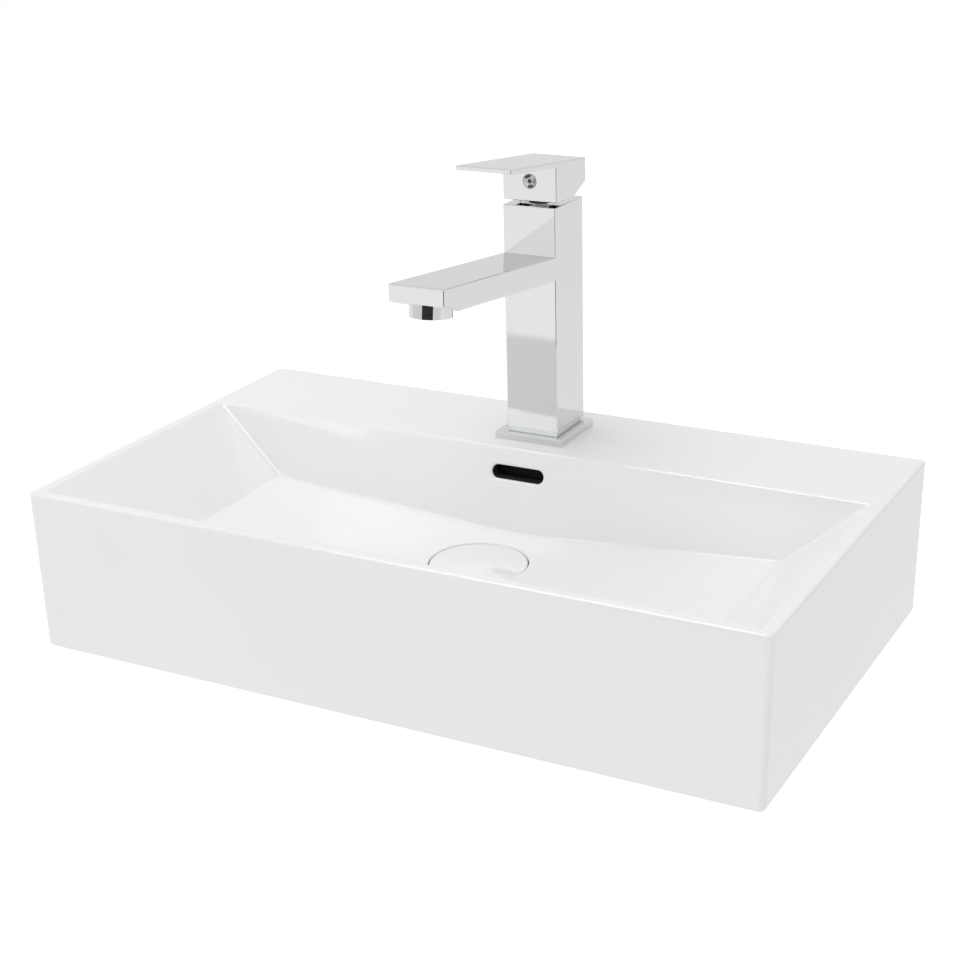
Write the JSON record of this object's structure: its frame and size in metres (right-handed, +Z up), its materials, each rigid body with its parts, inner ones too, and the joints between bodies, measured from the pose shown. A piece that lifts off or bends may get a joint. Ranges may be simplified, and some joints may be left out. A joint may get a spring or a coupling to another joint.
{
  "type": "washbasin",
  "caption": "Rectangular white ceramic wall-hung washbasin with a square chrome single-lever tap, an overflow slot and a round ceramic-capped click waste.",
  "frame": {"origin": "on the wall plane, midway between the two wall fixings in the basin's back face", "axes": "+X along the wall to the user's right, -Y out of the wall towards the user, +Z up"},
  "size_m": [0.5, 0.29, 0.3456],
  "materials": {
    "white_glaze": "glossy white glaze",
    "chrome_plate": "polished chrome plate on brass",
    "turned_brass": "turned brass",
    "zinc_steel": "plain steel",
    "seal_rubber": "soft black rubber",
    "grey_plastic": "moulded plastic",
    "disc_ceramic": "lapped ceramic",
    "button_plastic": "clear plastic over a bright back"
  },
  "bodies": {
    "basin_body": {"basin": "white_glaze", "waste_body": "turned_brass", "flange_seal": "seal_rubber", "under_gasket": "seal_rubber", "slip_washer": "grey_plastic", "lock_nut": "turned_brass", "click_core": "turned_brass", "click_spring": "zinc_steel", "base_plate": "chrome_plate", "base_gasket": "seal_rubber", "column_neck": "chrome_plate", "tap_body": "chrome_plate", "inlet_block": "turned_brass", "aerator_housing": "chrome_plate", "aerator_insert": "grey_plastic", "aerator_washer": "seal_rubber", "horseshoe_gasket": "seal_rubber", "horseshoe_washer": "zinc_steel", "mounting_stud": "zinc_steel", "stud_nut": "turned_brass", "cartridge_seal": "seal_rubber", "cartridge_base": "grey_plastic", "fixed_disc": "disc_ceramic", "cartridge_housing": "grey_plastic", "cartridge_nut": "turned_brass", "dome_cover": "chrome_plate"},
    "carrier": {"disc_carrier": "grey_plastic", "stem_pin": "zinc_steel"},
    "handle": {"lever_stem": "zinc_steel", "lever_handle": "chrome_plate", "grub_screw": "zinc_steel", "index_button": "button_plastic"},
    "disc": {"moving_disc": "disc_ceramic", "disc_slider": "grey_plastic"},
    "plug": {"waste_cap": "white_glaze", "plug_disc": "turned_brass", "plug_seal": "seal_rubber", "click_sleeve": "turned_brass"},
    "cam": {"click_cam": "grey_plastic"}
  },
  "joints": [
    {"name": "handle_turn", "type": "hinge", "parent": "basin_body", "child": "carrier", "pos_m": [0, -0.0507, 0.197], "axis": [0, 0, 1], "range_deg": [-45, 45]},
    {"name": "handle_lift", "type": "hinge", "parent": "carrier", "child": "handle", "pos_m": [0, -0.0507, 0.197], "axis": [-1, 0, 0], "range_deg": [0, 12]},
    {"name": "disc_slide", "type": "slide", "parent": "carrier", "child": "disc", "axis": [0, -1, 0], "range_m": [0, 0.0018]},
    {"name": "plug_lift", "type": "slide", "parent": "basin_body", "child": "plug", "axis": [0, 0, 1], "range_m": [0, 0.008], "deforming": ["click_spring"]},
    {"name": "cam_turn", "type": "hinge", "parent": "plug", "child": "cam", "pos_m": [0, -0.15, -0.035], "axis": [0, 0, 1], "range_deg": [0, 45]}
  ],
  "couplings": [
    {"joint": "disc_slide", "follows": "handle_lift", "m_per_rad": 0.00851},
    {"joint": "cam_turn", "follows": "plug_lift", "rad_per_m": 98.1}
  ]
}
